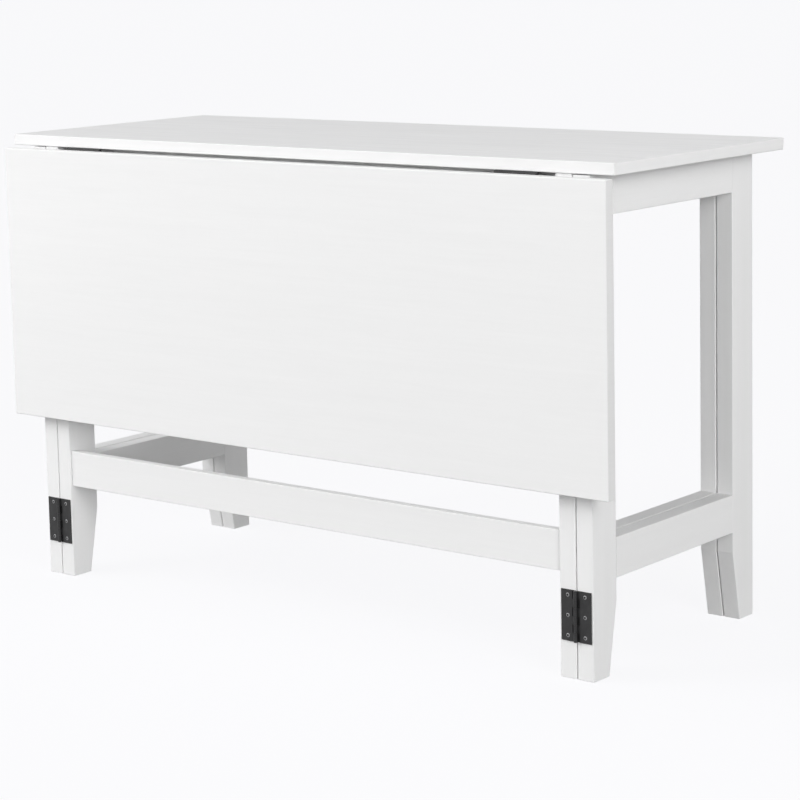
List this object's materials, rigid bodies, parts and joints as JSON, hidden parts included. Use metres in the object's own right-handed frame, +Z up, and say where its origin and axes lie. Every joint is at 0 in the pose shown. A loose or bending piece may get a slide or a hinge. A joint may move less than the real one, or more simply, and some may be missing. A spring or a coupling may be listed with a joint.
{
  "type": "drop-leaf dining table",
  "caption": "White drop-leaf dining table: a fixed top on end frames, a leaf that hangs at the front, and a hinged gate at each end that swings out under the raised leaf.",
  "frame": {"origin": "on the floor, under the middle of the closed table's box", "axes": "+X along the table, -Y towards the side that the leaf hangs on, +Z up"},
  "size_m": [1.21, 0.4874, 0.75],
  "materials": {
    "white_lacquer": "satin white lacquer over solid wood, faint grain",
    "top_lacquer": "satin white lacquer over a grained board, fine streaks along the length",
    "black_hinge": "satin black powder coat",
    "hinge_pin": "satin black",
    "black_screw": "black oxide with worn rims",
    "zinc_steel": "zinc plated",
    "beech": "bare wood"
  },
  "bodies": {
    "base": {"table_top": "top_lacquer", "front_stretcher": "white_lacquer", "front_apron": "white_lacquer", "rear_apron": "white_lacquer", "top_hinge_screws": "black_screw", "cross_rail_dowels": "beech", "cross_rail_bolts": "zinc_steel", "barrel_nuts": "zinc_steel", "top_fixing_screws": "zinc_steel", "left_frame_front_leg": "white_lacquer", "left_frame_rear_leg": "white_lacquer", "left_frame_top_rail": "white_lacquer", "left_frame_bottom_rail": "white_lacquer", "left_leaf_hinge_top_plate": "black_hinge", "left_leaf_hinge_pin": "hinge_pin", "left_frame_hinge_screws": "black_screw", "left_frame_dowels": "beech", "left_lower_hinge_frame_plate": "black_hinge", "left_lower_hinge_pin": "hinge_pin", "left_upper_hinge_frame_plate": "black_hinge", "left_upper_hinge_pin": "hinge_pin", "right_frame_front_leg": "white_lacquer", "right_frame_rear_leg": "white_lacquer", "right_frame_top_rail": "white_lacquer", "right_frame_bottom_rail": "white_lacquer", "right_leaf_hinge_top_plate": "black_hinge", "right_leaf_hinge_pin": "hinge_pin", "right_frame_hinge_screws": "black_screw", "right_frame_dowels": "beech", "right_lower_hinge_frame_plate": "black_hinge", "right_lower_hinge_pin": "hinge_pin", "right_upper_hinge_frame_plate": "black_hinge", "right_upper_hinge_pin": "hinge_pin"},
    "leaf": {"drop_leaf": "white_lacquer", "leaf_hinge_screws": "black_screw", "left_leaf_hinge_leaf_plate": "black_hinge", "right_leaf_hinge_leaf_plate": "black_hinge"},
    "left_gate": {"left_gate_front_leg": "white_lacquer", "left_gate_rear_leg": "white_lacquer", "left_gate_top_rail": "white_lacquer", "left_gate_bottom_rail": "white_lacquer", "left_gate_hinge_screws": "black_screw", "left_gate_dowels": "beech", "left_lower_hinge_gate_plate": "black_hinge", "left_upper_hinge_gate_plate": "black_hinge"},
    "right_gate": {"right_gate_front_leg": "white_lacquer", "right_gate_rear_leg": "white_lacquer", "right_gate_top_rail": "white_lacquer", "right_gate_bottom_rail": "white_lacquer", "right_gate_hinge_screws": "black_screw", "right_gate_dowels": "beech", "right_lower_hinge_gate_plate": "black_hinge", "right_upper_hinge_gate_plate": "black_hinge"}
  },
  "joints": [
    {"name": "leaf_lift", "type": "hinge", "parent": "base", "child": "leaf", "pos_m": [0, -0.22235, 0.7287], "axis": [-1, 0, 0], "range_deg": [0, 90]},
    {"name": "left_gate_swing", "type": "hinge", "parent": "base", "child": "left_gate", "pos_m": [-0.532, -0.22215, 0], "axis": [0, 0, 1], "range_deg": [0, 11]},
    {"name": "right_gate_swing", "type": "hinge", "parent": "base", "child": "right_gate", "pos_m": [0.532, -0.22215, 0], "axis": [0, 0, -1], "range_deg": [0, 11]}
  ]
}
